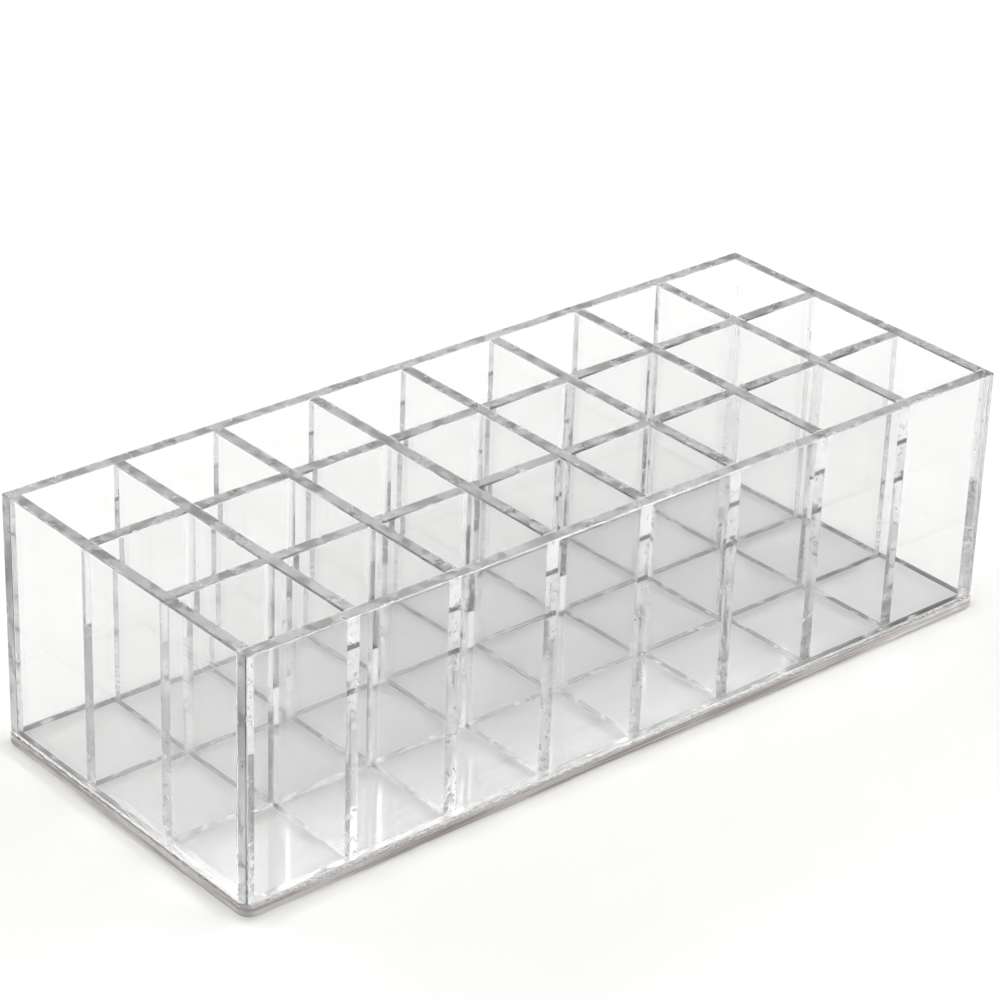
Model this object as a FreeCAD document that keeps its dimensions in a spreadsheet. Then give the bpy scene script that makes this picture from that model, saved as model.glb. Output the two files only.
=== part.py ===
# Clear acrylic vanity organizer: a box of flat cut sheets, cemented edge to face on a base plate,
# with an egg-crate grid of dividers that halve into each other at every crossing.
# Frame: millimetres, +Z up, origin at the middle of the underside of the base plate,
# +X along the length of the box, the front wall towards -Y.
import FreeCAD, Part
import os
import Sketcher

# Counts of the compartment grid, along and across the box
COLUMNS = 8
ROWS = 3

# Driving sizes of the object
SIZES = {
    # clear inside of one compartment, along and across the box
    "compartment_length": 25.4,
    "compartment_width": 26.8,
    # height of walls and dividers above the base plate
    "wall_height": 63.5,
    # thickness of the three kinds of sheet
    "wall_sheet": 3.5,
    "divider_sheet": 3.5,
    "base_sheet": 3.5,
    # rim of the base plate that stands out beyond the walls, its corners and its eased edges
    "base_overhang": 1.0,
    "base_corner_radius": 3.5,
    "base_edge_round": 0.8,
    # buffed rounding along the rims of walls and dividers
    "rim_round": 0.4,
    # film of cement between a sheet and the face that it is joined to
    "cement_gap": 0.06,
    # room in a halving slot beyond the sheet that slides into it
    "slot_clearance": 0.2,
    # share of the divider height that the slots of the long dividers take from above
    "slot_depth_share": 0.5,
    # length by which a cut runs out past the edge that it opens
    "cut_overrun": 2.0,
}

# Sizes worked out from the driving ones
COLUMN_PITCH = "(sizes.compartment_length + sizes.divider_sheet)"
ROW_PITCH = "(sizes.compartment_width + sizes.divider_sheet)"
INNER_LENGTH = f"({COLUMNS} * {COLUMN_PITCH} - sizes.divider_sheet)"
INNER_WIDTH = f"({ROWS} * {ROW_PITCH} - sizes.divider_sheet)"
BOX_LENGTH = f"({INNER_LENGTH} + 2 * sizes.wall_sheet)"
BOX_WIDTH = f"({INNER_WIDTH} + 2 * sizes.wall_sheet)"
SHEET_HEIGHT = "(sizes.wall_height - sizes.cement_gap)"
SHEET_FOOT = "(sizes.base_sheet + sizes.cement_gap)"
SLOT_WIDTH = "(sizes.divider_sheet + sizes.slot_clearance)"
UPPER_SLOT_DEPTH = f"(sizes.slot_depth_share * {SHEET_HEIGHT} + sizes.slot_clearance / 2)"
LOWER_SLOT_DEPTH = f"((1 - sizes.slot_depth_share) * {SHEET_HEIGHT} + sizes.slot_clearance / 2)"

# A sheet stands along the box, or with a quarter turn across it
ALONG = FreeCAD.Rotation(FreeCAD.Vector(0, 0, 1), 0)
ACROSS = FreeCAD.Rotation(FreeCAD.Vector(0, 0, 1), 90)

# An edge counts as level or upright when it strays by less than this
LEVEL_TOLERANCE = 1e-6


def add_size_sheet(doc):
    """Put every driving size in a spreadsheet cell that is named after it.

    Args:
        doc: document that the part is built in.

    Returns:
        The spreadsheet.
    """
    sheet = doc.addObject("Spreadsheet::Sheet", "sizes")
    for row, (name, value) in enumerate(SIZES.items(), start=1):
        sheet.set(f"A{row}", name)
        sheet.set(f"B{row}", str(value))
        sheet.setAlias(f"B{row}", name)
    doc.recompute()
    return sheet


def origin_feature(body, role):
    """Find one of a body's own origin planes or axes.

    Args:
        body: body that owns the origin.
        role: role of the wanted feature, such as XZ_Plane.

    Returns:
        The origin feature.
    """
    return next(feature for feature in body.Origin.OriginFeatures if feature.Role == role)


def add_rectangle(body, name, role, width, height, centred_up=False):
    """Sketch a rectangle on one of a body's origin planes, centred left to right.

    Args:
        body: body that gets the sketch.
        name: name of the sketch.
        role: role of the origin plane.
        width: expression for the width.
        height: expression for the height.
        centred_up: centre the rectangle upwards too; otherwise it stands on the axis.

    Returns:
        The sketch.
    """
    sketch = body.newObject("Sketcher::SketchObject", name)
    sketch.AttachmentSupport = (origin_feature(body, role), [""])
    sketch.MapMode = "FlatFace"
    corners = [FreeCAD.Vector(x, y, 0) for x, y in ((-1, -1), (1, -1), (1, 1), (-1, 1))]
    for index, corner in enumerate(corners):
        sketch.addGeometry(Part.LineSegment(corner, corners[(index + 1) % len(corners)]), False)
    for index in range(len(corners)):
        sketch.addConstraint(Sketcher.Constraint("Coincident", index, 2, (index + 1) % len(corners), 1))
    for level, upright in ((0, 1), (2, 3)):
        sketch.addConstraint(Sketcher.Constraint("Horizontal", level))
        sketch.addConstraint(Sketcher.Constraint("Vertical", upright))
    width_index = sketch.addConstraint(Sketcher.Constraint("DistanceX", 0, 1, 0, 2, 1))
    height_index = sketch.addConstraint(Sketcher.Constraint("DistanceY", 1, 1, 1, 2, 1))
    sketch.renameConstraint(width_index, "width")
    sketch.renameConstraint(height_index, "height")
    if centred_up:
        sketch.addConstraint(Sketcher.Constraint("Symmetric", 0, 1, 1, 2, -1, 1))
    else:
        sketch.addConstraint(Sketcher.Constraint("Symmetric", 0, 1, 0, 2, -1, 1))
    sketch.setExpression("Constraints.width", width)
    sketch.setExpression("Constraints.height", height)
    return sketch


def edge_names(feature, wanted):
    """Name the edges of a feature that pass a test.

    Args:
        feature: feature whose shape is searched.
        wanted: test that takes an edge.

    Returns:
        The names of the edges that pass.
    """
    return [f"Edge{index}" for index, edge in enumerate(feature.Shape.Edges, start=1) if wanted(edge)]


def is_level_at(edge, height):
    """Tell whether an edge lies level at a height.

    Args:
        edge: edge to test.
        height: height to compare with.

    Returns:
        True when all of the edge lies at that height.
    """
    box = edge.BoundBox
    return abs(box.ZMin - height) < LEVEL_TOLERANCE and abs(box.ZMax - height) < LEVEL_TOLERANCE


def is_upright(edge):
    """Tell whether an edge runs straight up.

    Args:
        edge: edge to test.

    Returns:
        True when the edge has height but no length or width.
    """
    box = edge.BoundBox
    return box.XLength < LEVEL_TOLERANCE and box.YLength < LEVEL_TOLERANCE


def add_round(body, name, base, names, radius):
    """Round some edges of a body.

    Args:
        body: body that gets the rounding.
        name: name of the feature.
        base: feature whose edges are rounded.
        names: names of the edges.
        radius: expression for the radius.

    Returns:
        The rounding feature.
    """
    rounding = body.newObject("PartDesign::Fillet", name)
    rounding.Base = (base, names)
    rounding.setExpression("Radius", radius)
    body.Document.recompute()
    return rounding


def add_sheet(doc, name, length, thickness, round_ends=False):
    """Make one upright sheet, standing on its own origin, with rounded rims.

    Args:
        doc: document that the part is built in.
        name: name of the piece.
        length: expression for the length of the sheet.
        thickness: expression for its thickness.
        round_ends: round the upright edges of both ends as well, for a sheet whose ends are open to view.

    Returns:
        The body of the sheet.
    """
    body = doc.addObject("PartDesign::Body", name)
    body.Label = name
    outline = add_rectangle(body, f"{name}_outline", "XZ_Plane", length, SHEET_HEIGHT)
    pad = body.newObject("PartDesign::Pad", f"{name}_pad")
    pad.Profile = outline
    pad.SideType = "Symmetric"
    pad.setExpression("Length", thickness)
    doc.recompute()
    top = pad.Shape.BoundBox.ZMax
    half_length = pad.Shape.BoundBox.XMax

    def is_rim(edge):
        if is_upright(edge):
            return round_ends
        runs_along = edge.BoundBox.XLength > half_length
        return is_level_at(edge, top) and (runs_along or round_ends)

    add_round(body, f"{name}_rim", pad, edge_names(pad, is_rim), "sizes.rim_round")
    return body


def add_slots(body, count, pitch, depth, from_top):
    """Cut a row of halving slots into a divider, evenly spaced about its middle.

    Args:
        body: body of the divider.
        count: number of slots.
        pitch: expression for the distance between slots.
        depth: expression for the depth of a slot.
        from_top: cut down from the upper edge; otherwise up from the lower edge.

    Returns:
        None.
    """
    doc = body.Document
    uncut = body.Shape.Volume
    open_height = f"({depth} + sizes.cut_overrun)"
    slot = add_rectangle(body, f"{body.Name}_slot", "XZ_Plane", SLOT_WIDTH, open_height)
    slot.setExpression("AttachmentOffset.Base.x", f"-{count - 1} / 2 * {pitch}")
    slot_foot = f"{SHEET_HEIGHT} - {depth}" if from_top else "-sizes.cut_overrun"
    slot.setExpression("AttachmentOffset.Base.y", slot_foot)
    pocket = body.newObject("PartDesign::Pocket", f"{body.Name}_halving")
    pocket.Profile = slot
    pocket.Type = "ThroughAll"
    pocket.SideType = "Symmetric"
    doc.recompute()
    row = body.newObject("PartDesign::LinearPattern", f"{body.Name}_halvings")
    row.Originals = [pocket]
    row.Direction = (origin_feature(body, "X_Axis"), [""])
    row.Mode = "Spacing"
    row.setExpression("Offset", pitch)
    row.Occurrences = count
    body.Tip = row
    doc.recompute()
    if not body.Shape.Volume < uncut:
        raise RuntimeError(f"the slots of {body.Label} cut nothing")


def place(body, rotation, x_place=None, y_place=None, foot=SHEET_FOOT):
    """Stand a piece in the box.

    Args:
        body: body of the piece.
        rotation: turn of the piece about the vertical.
        x_place: expression for its place along the box, or nothing for the middle.
        y_place: expression for its place across the box, or nothing for the middle.
        foot: expression for the height of its lower edge, or nothing for the ground.

    Returns:
        The body.
    """
    body.Placement = FreeCAD.Placement(FreeCAD.Vector(0, 0, 0), rotation)
    for axis, expression in (("x", x_place), ("y", y_place), ("z", foot)):
        if expression is not None:
            body.setExpression(f"Placement.Base.{axis}", expression)
    return body


def add_base_plate(doc):
    """Make the base plate: a rounded rectangle with eased upper and lower edges.

    Args:
        doc: document that the part is built in.

    Returns:
        The body of the plate.
    """
    body = doc.addObject("PartDesign::Body", "base_plate")
    body.Label = "base_plate"
    length = f"({BOX_LENGTH} + 2 * sizes.base_overhang)"
    width = f"({BOX_WIDTH} + 2 * sizes.base_overhang)"
    outline = add_rectangle(body, "base_plate_outline", "XY_Plane", length, width, centred_up=True)
    pad = body.newObject("PartDesign::Pad", "base_plate_pad")
    pad.Profile = outline
    pad.setExpression("Length", "sizes.base_sheet")
    doc.recompute()
    uprights = edge_names(pad, is_upright)
    corners = add_round(body, "base_plate_corners", pad, uprights, "sizes.base_corner_radius")
    top = corners.Shape.BoundBox.ZMax
    eased = edge_names(corners, lambda edge: is_level_at(edge, 0) or is_level_at(edge, top))
    add_round(body, "base_plate_edges", corners, eased, "sizes.base_edge_round")
    return place(body, ALONG, foot=None)


def add_walls(doc):
    """Make the four walls: front and back run the full length, the ends stand between them.

    Args:
        doc: document that the part is built in.

    Returns:
        The bodies of the walls.
    """
    end_length = f"({INNER_WIDTH} - 2 * sizes.cement_gap)"
    wall_line = f"({BOX_WIDTH} - sizes.wall_sheet) / 2"
    end_line = f"({BOX_LENGTH} - sizes.wall_sheet) / 2"
    front = add_sheet(doc, "front_wall", BOX_LENGTH, "sizes.wall_sheet", round_ends=True)
    back = add_sheet(doc, "back_wall", BOX_LENGTH, "sizes.wall_sheet", round_ends=True)
    left = add_sheet(doc, "left_end_wall", end_length, "sizes.wall_sheet")
    right = add_sheet(doc, "right_end_wall", end_length, "sizes.wall_sheet")
    place(front, ALONG, y_place=f"-{wall_line}")
    place(back, ALONG, y_place=wall_line)
    place(left, ACROSS, x_place=f"-{end_line}")
    place(right, ACROSS, x_place=end_line)
    return [front, back, left, right]


def add_dividers(doc):
    """Make the divider grid: long dividers slotted from above, cross dividers from below.

    Args:
        doc: document that the part is built in.

    Returns:
        The bodies of the dividers.
    """
    long_length = f"({INNER_LENGTH} - 2 * sizes.cement_gap)"
    cross_length = f"({INNER_WIDTH} - 2 * sizes.cement_gap)"
    dividers = []
    for row, name in enumerate(("long_divider_front", "long_divider_rear"), start=1):
        divider = add_sheet(doc, name, long_length, "sizes.divider_sheet")
        add_slots(divider, COLUMNS - 1, COLUMN_PITCH, UPPER_SLOT_DEPTH, from_top=True)
        dividers.append(place(divider, ALONG, y_place=f"({row} - {ROWS} / 2) * {ROW_PITCH}"))
    for column in range(1, COLUMNS):
        divider = add_sheet(doc, f"cross_divider_{column}", cross_length, "sizes.divider_sheet")
        add_slots(divider, ROWS - 1, ROW_PITCH, LOWER_SLOT_DEPTH, from_top=False)
        dividers.append(place(divider, ACROSS, x_place=f"({column} - {COLUMNS} / 2) * {COLUMN_PITCH}"))
    return dividers


def check(doc, pieces):
    """Stop when any object failed or any piece is not one valid solid.

    Args:
        doc: document that the part is built in.
        pieces: bodies of all pieces.

    Returns:
        None.
    """
    for item in doc.Objects:
        if "Invalid" in item.State or "Error" in item.State:
            raise RuntimeError(f"{item.Label} failed: {item.State}")
    for piece in pieces:
        shape = piece.Shape
        if shape.isNull() or not shape.isValid() or len(shape.Solids) != 1:
            raise RuntimeError(f"{piece.Label} is not one valid solid")


def build():
    """Build the organizer and write each piece to its own file.

    Returns:
        None.
    """
    doc = FreeCAD.newDocument("vanity_organizer")
    add_size_sheet(doc)
    pieces = [add_base_plate(doc)] + add_walls(doc) + add_dividers(doc)
    doc.recompute()
    check(doc, pieces)
    os.makedirs("parts", exist_ok=True)
    for piece in pieces:
        piece.Shape.exportStep(f"parts/{piece.Label}.step")
        box = piece.Shape.optimalBoundingBox(False)
        print(f"{piece.Label}: {box.XLength:.2f} x {box.YLength:.2f} x {box.ZLength:.2f} mm, "
              f"{piece.Shape.Volume:.1f} mm3")


build()
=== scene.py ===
"""Looks of a clear acrylic vanity organizer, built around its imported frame.

Lengths are in metres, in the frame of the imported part: +X along the box, +Z up, the front wall towards -Y.
"""
import logging
import math
from dataclasses import dataclass
from enum import Enum
from typing import Any, Iterable

import bmesh
import bpy
from bpy.types import Material, Mesh, Node, NodeSocket, NodeTree, Object
from mathutils import Matrix, Vector


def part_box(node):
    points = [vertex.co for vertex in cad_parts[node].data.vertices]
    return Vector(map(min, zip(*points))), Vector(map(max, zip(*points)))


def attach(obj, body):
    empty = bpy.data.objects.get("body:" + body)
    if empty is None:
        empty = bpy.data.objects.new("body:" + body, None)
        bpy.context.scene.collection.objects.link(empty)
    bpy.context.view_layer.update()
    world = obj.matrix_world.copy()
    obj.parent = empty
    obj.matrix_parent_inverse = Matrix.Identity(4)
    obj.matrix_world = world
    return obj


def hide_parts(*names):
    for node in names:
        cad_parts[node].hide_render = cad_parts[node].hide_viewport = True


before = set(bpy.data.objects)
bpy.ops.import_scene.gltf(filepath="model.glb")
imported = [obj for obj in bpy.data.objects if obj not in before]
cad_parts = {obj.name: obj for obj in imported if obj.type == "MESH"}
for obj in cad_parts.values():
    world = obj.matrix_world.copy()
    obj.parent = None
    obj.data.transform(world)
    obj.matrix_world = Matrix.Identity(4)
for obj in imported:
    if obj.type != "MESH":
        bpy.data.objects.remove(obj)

LOG = logging.getLogger("vanity_organizer")
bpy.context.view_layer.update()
BODY = "root"
MM = 0.001
X, Y, Z = range(3)

# numbers of the sockets that a Mix node uses for colours
MIX_FACTOR, MIX_FIRST, MIX_SECOND, MIX_RESULT = 0, 6, 7, 2

Span = tuple[float, float]
Corner = tuple[float, float, float]


class Run(Enum):
    """Way that an upright sheet runs in the box."""

    ALONG = X
    ACROSS = Y


class Side(Enum):
    """Side of a sheet on one axis."""

    LOW = 0
    HIGH = 1


class SlotSide(Enum):
    """Edge of a divider that its halving slots open from."""

    TOP = "top"
    BOTTOM = "bottom"


class Surface(Enum):
    """Kinds of surface on a cut sheet, in the order of its material slots."""

    FACE = 0
    EDGE = 1
    END = 2
    SEAM = 3


def linear(hex_colour: str) -> tuple[float, float, float, float]:
    """Turn an sRGB hex colour into linear values.

    Args:
        hex_colour: six hex digits after a number sign.

    Returns:
        Linear red, green and blue, and an alpha of 1.
    """
    digits = hex_colour.lstrip("#")
    channels = [int(digits[at:at + 2], 16) / 255 for at in (0, 2, 4)]
    red, green, blue = (c / 12.92 if c <= 0.04045 else ((c + 0.055) / 1.055) ** 2.4 for c in channels)
    return red, green, blue, 1.0


def add_node(tree: NodeTree, kind: str, values: dict[Any, Any] | None = None,
             links: dict[Any, NodeSocket] | None = None, **settings: Any) -> Node:
    """Add a node with its settings and links.

    Args:
        tree: node tree that gets the node.
        kind: the node's type name.
        values: input names or numbers, and the values that they are set to.
        links: input names or numbers, and the outputs that feed them.
        settings: properties of the node itself.

    Returns:
        The node.
    """
    node = tree.nodes.new(kind)
    for name, value in settings.items():
        setattr(node, name, value)
    for name, value in (values or {}).items():
        node.inputs[name].default_value = value
    for name, output in (links or {}).items():
        tree.links.new(output, node.inputs[name])
    return node


def new_object(name: str, mesh: Mesh) -> Object:
    """Put a mesh in the scene as an object at the origin.

    Args:
        name: name of the object.
        mesh: its mesh, with its place in it.

    Returns:
        The object.
    """
    item = bpy.data.objects.new(name, mesh)
    bpy.context.scene.collection.objects.link(item)
    return item


def per_metre(size_mm: float) -> float:
    """Scale of a pattern whose features have that size in millimetres."""
    return 1 / (size_mm * MM)


@dataclass(frozen=True)
class ClearAcrylic:
    """Clear acrylic sheet, which every finish of the box starts from: glassy, with a trace of grey."""

    name: str = "clear_acrylic"
    colour: str = "#fafafa"
    index: float = 1.49
    clearness: float = 1.0

    def material(self) -> Material:
        """Make the material.

        Returns:
            The material.
        """
        made = bpy.data.materials.new(self.name)
        made.use_nodes = True
        tree = made.node_tree
        shader = tree.nodes["Principled BSDF"]
        shader.inputs["Base Color"].default_value = linear(self.colour)
        shader.inputs["IOR"].default_value = self.index
        shader.inputs["Transmission Weight"].default_value = self.clearness
        self.dress(tree, shader, add_node(tree, "ShaderNodeTexCoord").outputs["Object"])
        return made

    def dress(self, tree: NodeTree, shader: Node, place: NodeSocket) -> None:
        """Give the shader what sets this finish apart.

        Args:
            tree: the material's nodes.
            shader: the shader of the clear acrylic.
            place: the object's own coordinates.
        """
        raise NotImplementedError


@dataclass(frozen=True)
class CastFace(ClearAcrylic):
    """Face of cast sheet as it left the mould: a slow ripple and a few hairline scratches."""

    name: str = "cast_acrylic_face"
    ripple_mm: float = 26.0
    ripple_height_mm: float = 0.02
    # a real scratch is far finer than this: it is drawn wide enough to show
    scratch_width_mm: float = 0.35
    scratch_length_mm: float = 45.0
    scratch_slant: Corner = (0.5, 0.35, 0.2)
    scratch_start: float = 0.7
    scratch_full: float = 0.8
    scratch_roughness: float = 0.16

    def dress(self, tree: NodeTree, shader: Node, place: NodeSocket) -> None:
        """Add the ripple and the scratches.

        Args:
            tree: the material's nodes.
            shader: the shader of the clear acrylic.
            place: the object's own coordinates.
        """
        ripple = add_node(tree, "ShaderNodeTexNoise", {"Scale": per_metre(self.ripple_mm), "Detail": 1.0},
                          {"Vector": place})
        bump = add_node(tree, "ShaderNodeBump", {"Distance": self.ripple_height_mm * MM},
                        {"Height": ripple.outputs["Fac"]})
        long, thin = per_metre(self.scratch_length_mm), per_metre(self.scratch_width_mm)
        slant = add_node(tree, "ShaderNodeMapping",
                         {"Rotation": self.scratch_slant, "Scale": (long, long, thin)}, {"Vector": place})
        lines = add_node(tree, "ShaderNodeTexNoise", {"Scale": 1.0, "Detail": 0.0},
                         {"Vector": slant.outputs["Vector"]})
        scratch = add_node(tree, "ShaderNodeMapRange",
                           {"From Min": self.scratch_start, "From Max": self.scratch_full,
                            "To Max": self.scratch_roughness},
                           {"Value": lines.outputs["Fac"]})
        tree.links.new(bump.outputs["Normal"], shader.inputs["Normal"])
        tree.links.new(scratch.outputs["Result"], shader.inputs["Roughness"])


@dataclass(frozen=True)
class BuffedEdge(ClearAcrylic):
    """Sawn edge of the sheet, buffed to a soft gloss: a little hazy, with low waves and patches of painted
    shade.

    The patches stand for saw marks that buffing didn't reach; their grey base colour is painted shade, for
    the dimmer light that comes up through the edge there.
    """

    name: str = "buffed_acrylic_edge"
    clearness: float = 0.92
    # grey of the patches: painted shade, so that the edge looks dimmer there
    painted_shade_colour: str = "#b6b4b2"
    patch_mm: float = 3.2
    patch_start: float = 0.66
    patch_full: float = 0.68
    wave_mm: float = 4.0
    wave_height_mm: float = 0.008
    grain_mm: float = 0.8
    grain_share: float = 0.25
    haze_start: float = 0.5
    haze_full: float = 0.7
    least_roughness: float = 0.22
    most_roughness: float = 0.3

    def pattern(self, tree: NodeTree, place: NodeSocket) -> NodeSocket:
        """Give each of many irregular cells a chance of its own to be a patch.

        Args:
            tree: the material's nodes.
            place: the object's own coordinates.

        Returns:
            The chance.
        """
        cells = add_node(tree, "ShaderNodeTexVoronoi", {"Scale": per_metre(self.patch_mm)},
                         {"Vector": place})
        parts = add_node(tree, "ShaderNodeSeparateColor", links={"Color": cells.outputs["Color"]})
        return parts.outputs["Red"]

    def dress(self, tree: NodeTree, shader: Node, place: NodeSocket) -> None:
        """Add the patches of painted shade, the waves and the fine grain of buffing.

        Args:
            tree: the material's nodes.
            shader: the shader of the clear acrylic.
            place: the object's own coordinates.
        """
        wave = add_node(tree, "ShaderNodeTexNoise", {"Scale": per_metre(self.wave_mm), "Detail": 1.0},
                        {"Vector": place})
        grain = add_node(tree, "ShaderNodeTexNoise", {"Scale": per_metre(self.grain_mm), "Detail": 0.0},
                         {"Vector": place})
        height = add_node(tree, "ShaderNodeMath", {1: self.grain_share},
                          {0: grain.outputs["Fac"], 2: wave.outputs["Fac"]}, operation="MULTIPLY_ADD")
        bump = add_node(tree, "ShaderNodeBump", {"Distance": self.wave_height_mm * MM},
                        {"Height": height.outputs["Value"]})
        haze = add_node(tree, "ShaderNodeMapRange",
                        {"From Min": self.haze_start, "From Max": self.haze_full,
                         "To Min": self.least_roughness, "To Max": self.most_roughness},
                        {"Value": wave.outputs["Fac"]})
        patch = add_node(tree, "ShaderNodeMapRange",
                         {"From Min": self.patch_start, "From Max": self.patch_full},
                         {"Value": self.pattern(tree, place)})
        # painted shade: the patches darken the base colour, so that less light seems to come through them
        painted_shade_tint = add_node(tree, "ShaderNodeMix",
                        {MIX_FIRST: linear(self.colour), MIX_SECOND: linear(self.painted_shade_colour)},
                        {MIX_FACTOR: patch.outputs["Result"]}, data_type="RGBA")
        tree.links.new(painted_shade_tint.outputs[MIX_RESULT], shader.inputs["Base Color"])
        tree.links.new(bump.outputs["Normal"], shader.inputs["Normal"])
        tree.links.new(haze.outputs["Result"], shader.inputs["Roughness"])


@dataclass(frozen=True)
class SlabSide(BuffedEdge):
    """Side of the base plate, sanded along its length and buffed, with grey streaks of painted shade along
    it.

    Light that comes out there has crossed the whole plate, so its dimmer, warmer look is painted into the
    colour: a warm tint, and streaks of a deeper grey than a rim.
    """

    name: str = "buffed_acrylic_slab_side"
    clearness: float = 1.0
    # painted shade: the warm tint and the brown-grey streak colour stand in for the dimmer, warmer light
    # that comes out of the side
    colour: str = "#fbf7f4"
    painted_shade_colour: str = "#9a918c"
    streak_length_mm: float = 40.0
    streak_height_mm: float = 0.5
    patch_start: float = 0.44
    patch_full: float = 0.54
    wave_height_mm: float = 0.0005
    least_roughness: float = 0.28
    most_roughness: float = 0.36

    def pattern(self, tree: NodeTree, place: NodeSocket) -> NodeSocket:
        """Draw the streaks of painted shade.

        Args:
            tree: the material's nodes.
            place: the object's own coordinates.

        Returns:
            A value that is high along the streaks.
        """
        long, thin = per_metre(self.streak_length_mm), per_metre(self.streak_height_mm)
        stretch = add_node(tree, "ShaderNodeMapping", {"Scale": (long, long, thin)}, {"Vector": place})
        return add_node(tree, "ShaderNodeTexNoise", {"Scale": 1.0, "Detail": 1.0},
                        {"Vector": stretch.outputs["Vector"]}).outputs["Fac"]


@dataclass(frozen=True)
class BondedEnd(ClearAcrylic):
    """End of a sheet that solvent cement has bonded: clear where it wetted, frosted and bubbly elsewhere.

    The frosted patches crowd towards the floor of the box, where the cement runs down and pools.
    """

    name: str = "bonded_acrylic_end"
    patch_mm: float = 2.5
    patch_start: float = 0.5
    patch_edge: float = 0.03
    thinning: float = 0.15
    thinning_height: float = 26 * MM
    wet_roughness: float = 0.0
    frost_roughness: float = 0.3
    wet_clearness: float = 1.0
    frost_clearness: float = 0.8
    bubble_mm: float = 0.9
    bubble_height_mm: float = 0.06

    def dress(self, tree: NodeTree, shader: Node, place: NodeSocket) -> None:
        """Add the frosted patches and their bubbles.

        Args:
            tree: the material's nodes.
            shader: the shader of the clear acrylic.
            place: the object's own coordinates.
        """
        cloud = add_node(tree, "ShaderNodeTexNoise", {"Scale": per_metre(self.patch_mm), "Detail": 2.0},
                         {"Vector": place})
        height = add_node(tree, "ShaderNodeSeparateXYZ", links={"Vector": place}).outputs["Z"]
        rise = add_node(tree, "ShaderNodeMapRange",
                        {"From Max": self.thinning_height, "To Max": self.thinning}, {"Value": height})
        wet = add_node(tree, "ShaderNodeMath", links={0: cloud.outputs["Fac"], 1: rise.outputs["Result"]},
                       operation="SUBTRACT")
        patch = add_node(tree, "ShaderNodeMapRange",
                         {"From Min": self.patch_start, "From Max": self.patch_start + self.patch_edge},
                         {"Value": wet.outputs["Value"]}).outputs["Result"]
        frost = add_node(tree, "ShaderNodeMapRange",
                         {"To Min": self.wet_roughness, "To Max": self.frost_roughness}, {"Value": patch})
        clear = add_node(tree, "ShaderNodeMapRange",
                         {"To Min": self.wet_clearness, "To Max": self.frost_clearness}, {"Value": patch})
        bubbles = add_node(tree, "ShaderNodeTexVoronoi", {"Scale": per_metre(self.bubble_mm)},
                           {"Vector": place}, feature="SMOOTH_F1")
        bump = add_node(tree, "ShaderNodeBump", {"Distance": self.bubble_height_mm * MM},
                        {"Height": bubbles.outputs["Distance"], "Strength": patch})
        tree.links.new(frost.outputs["Result"], shader.inputs["Roughness"])
        tree.links.new(clear.outputs["Result"], shader.inputs["Transmission Weight"])
        tree.links.new(bump.outputs["Normal"], shader.inputs["Normal"])


@dataclass(frozen=True)
class BondedSeam(BondedEnd):
    """Foot of a sheet on the floor of the box: nearly clear all along, with a few pale patches."""

    name: str = "bonded_acrylic_seam"
    patch_mm: float = 5.0
    patch_start: float = 0.56
    patch_edge: float = 0.1
    thinning: float = 0.0
    wet_roughness: float = 0.12
    frost_roughness: float = 0.4
    wet_clearness: float = 0.92
    frost_clearness: float = 0.7
    bubble_height_mm: float = 0.02


@dataclass(frozen=True)
class SetCement(ClearAcrylic):
    """Solvent cement that has set in a joint: clear beads, a little milky from the dissolved acrylic."""

    name: str = "set_cement"
    clearness: float = 0.85
    index: float = 1.47
    least_roughness: float = 0.02
    most_roughness: float = 0.2
    cloud_mm: float = 1.5

    def dress(self, tree: NodeTree, shader: Node, place: NodeSocket) -> None:
        """Add the milky clouds.

        Args:
            tree: the material's nodes.
            shader: the shader of the clear acrylic.
            place: the object's own coordinates.
        """
        cloud = add_node(tree, "ShaderNodeTexNoise", {"Scale": per_metre(self.cloud_mm)}, {"Vector": place})
        haze = add_node(tree, "ShaderNodeMapRange",
                        {"To Min": self.least_roughness, "To Max": self.most_roughness},
                        {"Value": cloud.outputs["Fac"]})
        tree.links.new(haze.outputs["Result"], shader.inputs["Roughness"])


@dataclass(frozen=True)
class MattPaint:
    """Matt white paint of the studio floor."""

    name: str = "studio_floor"
    colour: str = "#efefee"
    roughness: float = 0.9

    def material(self) -> Material:
        """Make the material.

        Returns:
            The material.
        """
        made = bpy.data.materials.new(self.name)
        made.use_nodes = True
        shader = made.node_tree.nodes["Principled BSDF"]
        shader.inputs["Base Color"].default_value = linear(self.colour)
        shader.inputs["Roughness"].default_value = self.roughness
        return made


@dataclass(frozen=True)
class OutlinePoint:
    """Corner of a sheet's outline, and what the side that starts there is."""

    along: float
    height: float
    surface: Surface
    rim: bool = False


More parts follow.
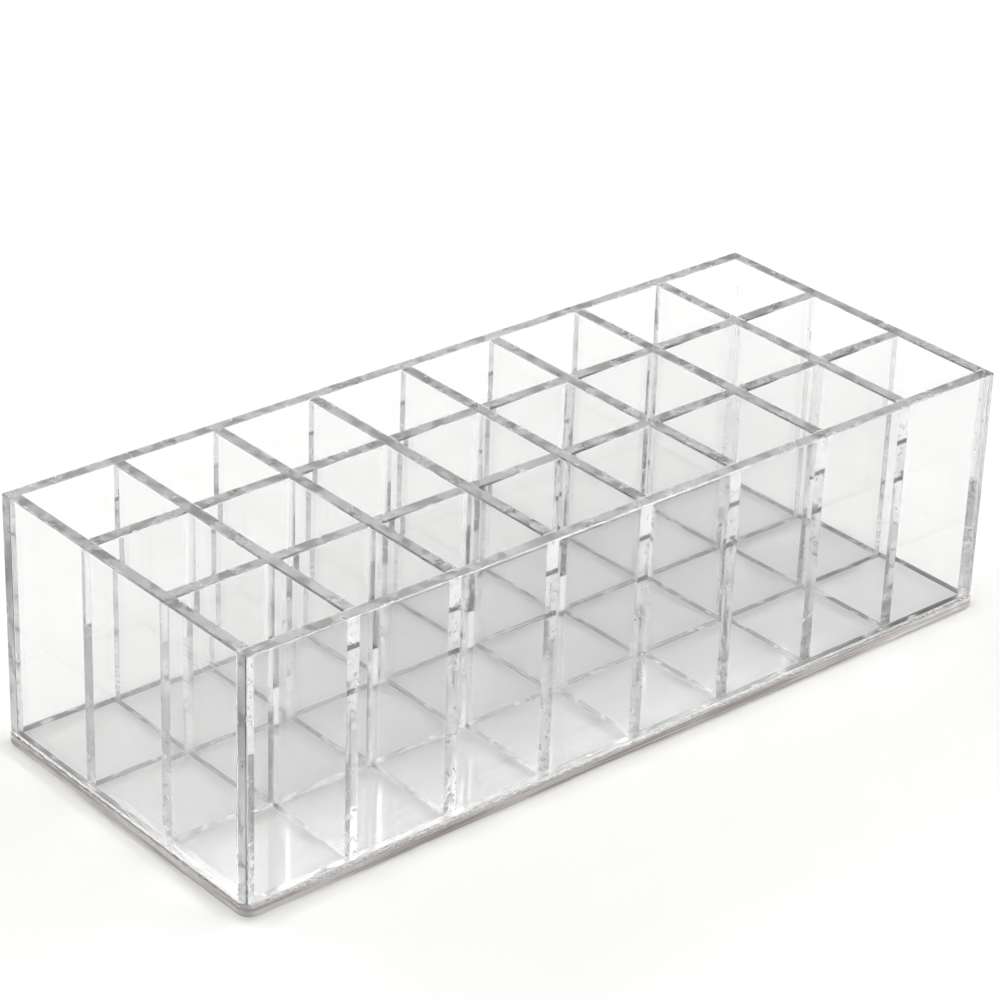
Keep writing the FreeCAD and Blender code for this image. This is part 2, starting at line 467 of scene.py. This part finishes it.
@dataclass
class AcrylicSheet:
    """One upright sheet of the box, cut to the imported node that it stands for."""

    node: str
    run: Run
    slot: str
    finishes: list[Material]
    open_ends: bool = False
    slot_side: SlotSide | None = None
    crossing_nodes: tuple[str, ...] = ()
    rim_round: float = 0.4 * MM
    arris: float = 0.2 * MM
    round_steps: int = 5
    round_profile: float = 0.5
    slot_clearance: float = 0.2 * MM
    slot_depth_share: float = 0.5
    touch: float = 0.001 * MM

    def axis(self) -> int:
        """Number of the axis that the sheet runs along."""
        return self.run.value

    def slots(self) -> list[Span]:
        """Find the slots that the crossing dividers pass through.

        Returns:
            Start and end of each slot along the sheet, in order.
        """
        found = []
        for crossing in self.crossing_nodes:
            low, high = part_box(crossing)
            start = low[self.axis()] - self.slot_clearance / 2
            found.append((start, high[self.axis()] + self.slot_clearance / 2))
        return sorted(found)

    def outline(self) -> list[OutlinePoint]:
        """Draw the sheet's outline, anticlockwise from the foot of its start.

        Returns:
            The corners of the outline.
        """
        low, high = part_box(self.node)
        start, end = low[self.axis()], high[self.axis()]
        foot, top = low.z, high.z
        depth = self.slot_depth_share * (top - foot) + self.slot_clearance / 2
        side = Surface.EDGE if self.open_ends else Surface.END
        points = [OutlinePoint(start, foot, Surface.SEAM)]
        if self.slot_side is SlotSide.BOTTOM:
            for near, far in self.slots():
                points.append(OutlinePoint(near, foot, Surface.FACE))
                points.append(OutlinePoint(near, foot + depth, Surface.FACE))
                points.append(OutlinePoint(far, foot + depth, Surface.FACE))
                points.append(OutlinePoint(far, foot, Surface.SEAM))
        points.append(OutlinePoint(end, foot, side, rim=self.open_ends))
        points.append(OutlinePoint(end, top, Surface.EDGE, rim=True))
        if self.slot_side is SlotSide.TOP:
            for near, far in reversed(self.slots()):
                points.append(OutlinePoint(far, top, Surface.FACE))
                points.append(OutlinePoint(far, top - depth, Surface.FACE))
                points.append(OutlinePoint(near, top - depth, Surface.FACE))
                points.append(OutlinePoint(near, top, Surface.EDGE, rim=True))
        points.append(OutlinePoint(start, top, side, rim=self.open_ends))
        return points

    def place(self, along: float, through: float, height: float) -> Vector:
        """Put a point of the sheet in the frame."""
        return Vector((along, through, height) if self.run is Run.ALONG else (through, along, height))

    def mesh(self) -> Mesh:
        """Cut the sheet: two faces, the sides between them, rounded rims, and a fine arris at its joints.

        Returns:
            The mesh.
        """
        low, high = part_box(self.node)
        through = Run.ACROSS.value if self.run is Run.ALONG else Run.ALONG.value
        outline = self.outline()
        shape = bmesh.new()
        rings = [[shape.verts.new(self.place(point.along, depth, point.height)) for point in outline]
                 for depth in (low[through], high[through])]
        for ring in rings:
            shape.faces.new(ring).material_index = Surface.FACE.value
        rims = []
        for index, point in enumerate(outline):
            after = (index + 1) % len(outline)
            corners = [rings[0][index], rings[0][after], rings[1][after], rings[1][index]]
            shape.faces.new(corners).material_index = point.surface.value
            if point.rim:
                rims += [shape.edges.get((ring[index], ring[after])) for ring in rings]
                if outline[index - 1].rim:
                    rims.append(shape.edges.get((rings[0][index], rings[1][index])))
        bmesh.ops.recalc_face_normals(shape, faces=shape.faces)
        self.soften(shape, rims, self.rim_round)
        self.soften(shape, [edge for edge in shape.edges if self.is_butted(edge)], self.arris)
        bmesh.ops.remove_doubles(shape, verts=shape.verts, dist=self.touch)
        made = bpy.data.meshes.new(f"{self.node}_sheet")
        shape.to_mesh(made)
        shape.free()
        return made

    def is_butted(self, edge: bmesh.types.BMEdge) -> bool:
        """Tell whether an edge is a long one at a butted end or along the foot.

        Args:
            edge: an edge of the sheet, once its rims are rounded.

        Returns:
            Whether the edge gets the fine arris.
        """
        low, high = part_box(self.node)
        along = self.axis()
        first, second = (vert.co for vert in edge.verts)
        span = second - first
        if abs(span.z) > self.rim_round:
            reach = min(abs(first[along] - low[along]), abs(first[along] - high[along]))
            return not self.open_ends and reach < self.touch and abs(span[along]) < self.touch
        return abs(span[along]) > self.rim_round and max(first.z, second.z) < low.z + self.touch

    def soften(self, shape: bmesh.types.BMesh, edges: list[bmesh.types.BMEdge], radius: float) -> None:
        """Round some edges of the sheet, smooth on the rounding and flat elsewhere.

        Args:
            shape: the sheet so far.
            edges: edges to round.
            radius: radius of the rounding.
        """
        rounded = bmesh.ops.bevel(shape, geom=edges, offset=radius, offset_type="OFFSET", affect="EDGES",
                                  segments=self.round_steps, profile=self.round_profile,
                                  clamp_overlap=True, material=Surface.FACE.value)
        for face in rounded["faces"]:
            face.smooth = True

    def build(self) -> Object:
        """Make the piece and set it in the place of its node.

        Returns:
            The piece.
        """
        piece = new_object(f"{self.node}_sheet", self.mesh())
        for finish in self.finishes:
            piece.data.materials.append(finish)
        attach(piece, BODY)
        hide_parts(self.node)
        return piece


@dataclass
class BasePlate:
    """Plate under the box: rounded corners in plan, and eased upper and lower edges."""

    finishes: list[Material]
    node: str = "base_plate"
    slot: str = "base_acrylic"
    corner_radius: float = 3.5 * MM
    edge_round: float = 0.8 * MM
    corner_steps: int = 14
    edge_steps: int = 8

    def ring(self, inset: float, height: float) -> list[Corner]:
        """Draw a rounded rectangle inside the plate's outline.

        Args:
            inset: distance inside the outline.
            height: height of the ring.

        Returns:
            The points of the ring, anticlockwise.
        """
        low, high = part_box(self.node)
        radius = self.corner_radius - inset
        tips = ((high.x, high.y), (low.x, high.y), (low.x, low.y), (high.x, low.y))
        points = []
        for quarter, (tip_x, tip_y) in enumerate(tips):
            centre_x = tip_x - math.copysign(self.corner_radius, tip_x)
            centre_y = tip_y - math.copysign(self.corner_radius, tip_y)
            for step in range(self.corner_steps + 1):
                angle = (quarter + step / self.corner_steps) * math.pi / 2
                x = centre_x + radius * math.cos(angle)
                points.append((x, centre_y + radius * math.sin(angle), height))
        return points

    def mesh(self) -> Mesh:
        """Make the plate from rings that follow its eased edges.

        Returns:
            The mesh.
        """
        low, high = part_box(self.node)
        shape = bmesh.new()
        rings = []
        for centre, first in ((low.z + self.edge_round, -math.pi / 2), (high.z - self.edge_round, 0.0)):
            for step in range(self.edge_steps + 1):
                angle = first + step / self.edge_steps * math.pi / 2
                inset = self.edge_round * (1 - math.cos(angle))
                rings.append(self.ring(inset, centre + self.edge_round * math.sin(angle)))
        loops = [[shape.verts.new(point) for point in ring] for ring in rings]
        for number, (lower, upper) in enumerate(zip(loops, loops[1:])):
            # the sanded side, with its streaks of painted shade, takes in the lower rounding, and the upper
            # one is as clear as the faces
            surface = Surface.EDGE if number <= self.edge_steps else Surface.FACE
            for index in range(len(lower)):
                after = (index + 1) % len(lower)
                face = shape.faces.new((lower[index], lower[after], upper[after], upper[index]))
                face.material_index = surface.value
                face.smooth = True
        shape.faces.new(reversed(loops[0])).material_index = Surface.FACE.value
        shape.faces.new(loops[-1]).material_index = Surface.FACE.value
        made = bpy.data.meshes.new(f"{self.node}_slab")
        shape.to_mesh(made)
        shape.free()
        return made

    def build(self) -> Object:
        """Make the piece and set it in the place of its node.

        Returns:
            The piece.
        """
        piece = new_object(f"{self.node}_slab", self.mesh())
        for finish in self.finishes:
            piece.data.materials.append(finish)
        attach(piece, BODY)
        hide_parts(self.node)
        return piece


@dataclass(frozen=True)
class Joint:
    """Flat gap between the edge of a sheet and the face that it is cemented to."""

    low: Vector
    high: Vector
    axis: int
    gap: float

    @classmethod
    def between(cls, node: str, axis: int, side: Side, face: float) -> "Joint":
        """Find the gap at one edge of a sheet.

        Args:
            node: node of the sheet.
            axis: axis that crosses the gap.
            side: side of the sheet that the gap is on.
            face: where the facing sheet's surface lies on that axis.

        Returns:
            The joint.
        """
        low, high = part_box(node)
        edge = (low, high)[side.value][axis]
        low[axis] = high[axis] = (edge + face) / 2
        return cls(low, high, axis, abs(edge - face))

    def corners(self, margin: float) -> list[Vector]:
        """Corners of the gap, drawn in by a margin.

        Args:
            margin: distance that they are drawn in.

        Returns:
            The four corners, in order round the gap.
        """
        first, second = (axis for axis in (X, Y, Z) if axis != self.axis)
        points = []
        for at_first, at_second in ((0, 0), (1, 0), (1, 1), (0, 1)):
            point = self.low.copy()
            point[first] = (self.low[first] + margin, self.high[first] - margin)[at_first]
            point[second] = (self.low[second] + margin, self.high[second] - margin)[at_second]
            points.append(point)
        return points


@dataclass
class CementBeads:
    """Beads of solvent cement that are caught in a row of joints, scattered over them by Geometry Nodes."""

    name: str
    slot: str
    joints: list[Joint]
    finish: Material
    seed: int
    spacing: float = 1.1 * MM
    crowding: float = 0.35 / MM ** 2
    thin_share: float = 0.12
    thin_height: float = 30 * MM
    least_radius: float = 0.12 * MM
    most_radius: float = 0.5 * MM
    fill_share: float = 0.7
    segments: int = 8
    rings: int = 5

    def tree(self) -> NodeTree:
        """Lay out the nodes that scatter the beads.

        Returns:
            The node tree.
        """
        tree = bpy.data.node_groups.new("cement_beads", "GeometryNodeTree")
        tree.interface.new_socket("Beads", in_out="OUTPUT", socket_type="NodeSocketGeometry")
        tree.interface.new_socket("Joints", in_out="INPUT", socket_type="NodeSocketGeometry")
        for name in ("Spacing", "Crowding", "Thin Share", "Thin Height"):
            tree.interface.new_socket(name, in_out="INPUT", socket_type="NodeSocketFloat")
        for name in ("Least Bead", "Most Bead"):
            tree.interface.new_socket(name, in_out="INPUT", socket_type="NodeSocketVector")
        tree.interface.new_socket("Seed", in_out="INPUT", socket_type="NodeSocketInt")
        tree.interface.new_socket("Finish", in_out="INPUT", socket_type="NodeSocketMaterial")
        given = add_node(tree, "NodeGroupInput").outputs
        place = add_node(tree, "GeometryNodeInputPosition").outputs["Position"]
        height = add_node(tree, "ShaderNodeSeparateXYZ", links={"Vector": place}).outputs["Z"]
        density = add_node(tree, "ShaderNodeMapRange", {"To Min": 1.0},
                           {"Value": height, "From Max": given["Thin Height"],
                            "To Max": given["Thin Share"]})
        points = add_node(tree, "GeometryNodeDistributePointsOnFaces",
                          links={"Mesh": given["Joints"], "Distance Min": given["Spacing"],
                                 "Density Max": given["Crowding"],
                                 "Density Factor": density.outputs["Result"], "Seed": given["Seed"]},
                          distribute_method="POISSON")
        size = add_node(tree, "FunctionNodeRandomValue",
                        links={"Min": given["Least Bead"], "Max": given["Most Bead"],
                               "Seed": given["Seed"]},
                        data_type="FLOAT_VECTOR")
        bead = add_node(tree, "GeometryNodeMeshUVSphere",
                        {"Segments": self.segments, "Rings": self.rings, "Radius": 1.0})
        spread = add_node(tree, "GeometryNodeInstanceOnPoints",
                          links={"Points": points.outputs["Points"], "Instance": bead.outputs["Mesh"],
                                 "Rotation": points.outputs["Rotation"], "Scale": size.outputs["Value"]})
        smooth = add_node(tree, "GeometryNodeSetShadeSmooth",
                          links={"Geometry": spread.outputs["Instances"]})
        real = add_node(tree, "GeometryNodeRealizeInstances",
                        links={"Geometry": smooth.outputs["Geometry"]})
        dressed = add_node(tree, "GeometryNodeSetMaterial",
                           links={"Geometry": real.outputs["Geometry"], "Material": given["Finish"]})
        add_node(tree, "NodeGroupOutput", links={"Beads": dressed.outputs["Geometry"]})
        return tree

    def build(self) -> Object:
        """Scatter the beads and turn them into a plain mesh.

        Returns:
            The piece.
        """
        corners = [point for joint in self.joints for point in joint.corners(self.most_radius)]
        faces = [tuple(range(first, first + 4)) for first in range(0, len(corners), 4)]
        mesh = bpy.data.meshes.new(self.name)
        mesh.from_pydata(corners, [], faces)
        piece = new_object(self.name, mesh)
        half_gap = self.fill_share * self.joints[0].gap / 2
        tree = self.tree()
        given = {
            "Spacing": self.spacing,
            "Crowding": self.crowding,
            "Thin Share": self.thin_share,
            "Thin Height": self.thin_height,
            "Least Bead": (self.least_radius, self.least_radius, half_gap),
            "Most Bead": (self.most_radius, self.most_radius, half_gap),
            "Seed": self.seed,
            "Finish": self.finish,
        }
        scatter = piece.modifiers.new("beads", "NODES")
        scatter.node_group = tree
        for socket in tree.interface.items_tree:
            if socket.in_out == "INPUT" and socket.name in given:
                scatter[socket.identifier] = given[socket.name]
        scattered = piece.evaluated_get(bpy.context.evaluated_depsgraph_get())
        solid = bpy.data.meshes.new_from_object(scattered)
        piece.modifiers.remove(scatter)
        piece.data = solid
        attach(piece, BODY)
        return piece


@dataclass(frozen=True)
class PhotoCamera:
    """Camera that sees the organizer as the photograph does."""

    eye: Corner = (-0.4958, -0.5579, 0.4385)
    azimuth: float = math.radians(-41.30)
    elevation: float = math.radians(27.63)
    roll: float = math.radians(2.04)
    focal_pixels: float = 3452.4
    image_side: int = 1000
    sensor_mm: float = 36.0
    near: float = 0.01
    far: float = 100.0

    def build(self) -> Object:
        """Set the camera up and make it the scene's own.

        Returns:
            The camera.
        """
        level = math.cos(self.elevation)
        back = Vector((math.sin(self.azimuth) * level, -math.cos(self.azimuth) * level,
                       math.sin(self.elevation)))
        side = Vector((math.cos(self.azimuth), math.sin(self.azimuth), 0.0))
        across = math.cos(self.roll) * side + math.sin(self.roll) * back.cross(side)
        turn = Matrix((across, back.cross(across), back)).transposed()
        lens = bpy.data.cameras.new("photo_camera")
        lens.sensor_width = self.sensor_mm
        lens.lens = self.focal_pixels * self.sensor_mm / self.image_side
        lens.clip_start = self.near
        lens.clip_end = self.far
        camera = bpy.data.objects.new("photo_camera", lens)
        camera.matrix_world = Matrix.Translation(self.eye) @ turn.to_4x4()
        bpy.context.scene.collection.objects.link(camera)
        bpy.context.scene.camera = camera
        return camera


@dataclass(frozen=True)
class Softbox:
    """Soft rectangular studio light that faces the object."""

    name: str
    place: Corner
    width: float
    height: float
    watts: float

    def build(self) -> Object:
        """Hang the light.

        Returns:
            The light.
        """
        lamp = bpy.data.lights.new(self.name, "AREA")
        lamp.shape = "RECTANGLE"
        lamp.size = self.width
        lamp.size_y = self.height
        lamp.energy = self.watts
        light = bpy.data.objects.new(self.name, lamp)
        light.location = self.place
        light.rotation_euler = (-Vector(self.place)).to_track_quat("-Z", "Y").to_euler()
        light.visible_camera = False
        bpy.context.scene.collection.objects.link(light)
        return light


@dataclass
class Studio:
    """Plain pale floor, soft light from above and three sides, and walls with a dark flag all round.

    The flag is the usual way to show clear plastic on white: its edges pick up the dark band as thin lines.
    """

    floor_paint: MattPaint = MattPaint()
    floor_half: float = 2.2
    # the floor lies this far under the object, so that no two faces share one place
    floor_drop: float = 0.2 * MM
    # sine of the height above the horizon, and the colour of the walls there
    walls: tuple[tuple[float, str], ...] = (
        (0.0, "#cecece"), (0.10, "#cacaca"), (0.13, "#242424"), (0.50, "#2e2e2e"), (0.66, "#cbcbcb"))
    wall_strength: float = 1.0
    # the two long softboxes lie where rounded rims mirror them to the camera, as bright hairlines
    softboxes: tuple[Softbox, ...] = (
        Softbox("key_softbox", (-0.1, 0.0, 2.2), 2.4, 2.0, 6.0),
        Softbox("left_softbox", (-1.4, -0.3, 0.8), 0.5, 1.2, 4.0),
        Softbox("right_softbox", (1.0, -0.3, 1.2), 1.6, 0.45, 14.0),
        Softbox("back_softbox", (-0.35, 1.2, 1.15), 1.6, 0.45, 14.0))
    # light is led a long way inside a clear sheet before it comes out
    bounces: int = 64
    caustic_blur: float = 0.18

    def build(self) -> None:
        """Set the floor, the walls, the lights and what the light may do."""
        half, low = self.floor_half, -self.floor_drop
        corners = [(-half, -half, low), (half, -half, low), (half, half, low), (-half, half, low)]
        mesh = bpy.data.meshes.new("floor")
        mesh.from_pydata(corners, [], [(0, 1, 2, 3)])
        mesh.materials.append(self.floor_paint.material())
        new_object("floor", mesh)
        for softbox in self.softboxes:
            softbox.build()
        self.hang_walls()
        scene = bpy.context.scene
        scene.view_settings.view_transform = "Standard"
        scene.cycles.blur_glossy = self.caustic_blur
        for name in ("max_bounces", "transmission_bounces", "glossy_bounces", "transparent_max_bounces"):
            setattr(scene.cycles, name, self.bounces)

    def hang_walls(self) -> None:
        """Paint the studio walls by height."""
        world = bpy.data.worlds.new("studio_walls")
        world.use_nodes = True
        tree = world.node_tree
        way = add_node(tree, "ShaderNodeTexCoord").outputs["Generated"]
        sine = add_node(tree, "ShaderNodeSeparateXYZ", links={"Vector": way}).outputs["Z"]
        ramp = add_node(tree, "ShaderNodeValToRGB", links={"Fac": sine})
        stops = ramp.color_ramp.elements
        for number, (height, colour) in enumerate(self.walls):
            stop = stops[number] if number < 2 else stops.new(height)
            stop.position = height
            stop.color = linear(colour)
        backdrop = tree.nodes["Background"]
        backdrop.inputs["Strength"].default_value = self.wall_strength
        tree.links.new(ramp.outputs["Color"], backdrop.inputs["Color"])
        bpy.context.scene.world = world


@dataclass
class Organizer:
    """The whole organizer: base plate, walls, the grid of dividers and the cement between them."""

    finishes: list[Material]
    slab_finishes: list[Material]
    cement: Material
    base: str = "base_plate"
    front: str = "front_wall"
    back: str = "back_wall"
    left: str = "left_end_wall"
    right: str = "right_end_wall"
    long_dividers: tuple[str, ...] = ("long_divider_front", "long_divider_rear")
    cross_dividers: tuple[str, ...] = tuple(f"cross_divider_{number}" for number in range(1, 8))
    base_slot: str = "base_acrylic"
    wall_slot: str = "wall_acrylic"
    divider_slot: str = "divider_acrylic"

    def sheets(self) -> Iterable[AcrylicSheet]:
        """Lay out every upright sheet.

        Yields:
            The sheets, walls first.
        """
        for node in (self.front, self.back):
            yield AcrylicSheet(node, Run.ALONG, self.wall_slot, self.finishes, open_ends=True)
        for node in (self.left, self.right):
            yield AcrylicSheet(node, Run.ACROSS, self.wall_slot, self.finishes)
        for node in self.long_dividers:
            yield AcrylicSheet(node, Run.ALONG, self.divider_slot, self.finishes,
                               slot_side=SlotSide.TOP, crossing_nodes=self.cross_dividers)
        for node in self.cross_dividers:
            yield AcrylicSheet(node, Run.ACROSS, self.divider_slot, self.finishes,
                               slot_side=SlotSide.BOTTOM, crossing_nodes=self.long_dividers)

    def beads(self) -> Iterable[CementBeads]:
        """Find every cemented joint, in rows by the face that it is cemented to.

        Yields:
            The cement of each row.
        """
        across = (self.left, self.right) + self.cross_dividers
        upright = (self.front, self.back) + across + self.long_dividers
        rows = (
            ("front_cement", self.wall_slot, across, Y, Side.LOW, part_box(self.front)[1].y),
            ("back_cement", self.wall_slot, across, Y, Side.HIGH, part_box(self.back)[0].y),
            ("left_cement", self.wall_slot, self.long_dividers, X, Side.LOW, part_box(self.left)[1].x),
            ("right_cement", self.wall_slot, self.long_dividers, X, Side.HIGH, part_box(self.right)[0].x),
            ("base_cement", self.base_slot, upright, Z, Side.LOW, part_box(self.base)[1].z),
        )
        for seed, (name, slot, nodes, axis, side, face) in enumerate(rows, start=1):
            joints = [Joint.between(node, axis, side, face) for node in nodes]
            yield CementBeads(name, slot, joints, self.cement, seed)

    def build(self) -> list[Object]:
        """Build all pieces.

        Returns:
            The pieces.
        """
        pieces = [BasePlate(self.slab_finishes, self.base, self.base_slot).build()]
        pieces += [sheet.build() for sheet in self.sheets()]
        pieces += [row.build() for row in self.beads()]
        return pieces


def main() -> None:
    """Build the organizer, the studio and the camera, and report each piece."""
    logging.basicConfig(level=logging.INFO, format="%(message)s")
    finishes = [finish.material() for finish in (CastFace(), BuffedEdge(), BondedEnd(), BondedSeam())]
    slab_finishes = [finishes[Surface.FACE.value], SlabSide().material()]
    for piece in Organizer(finishes, slab_finishes, SetCement().material()).build():
        LOG.info("%s: %d faces", piece.name, len(piece.data.polygons))
    Studio().build()
    PhotoCamera().build()


if __name__ == "__main__":
    main()
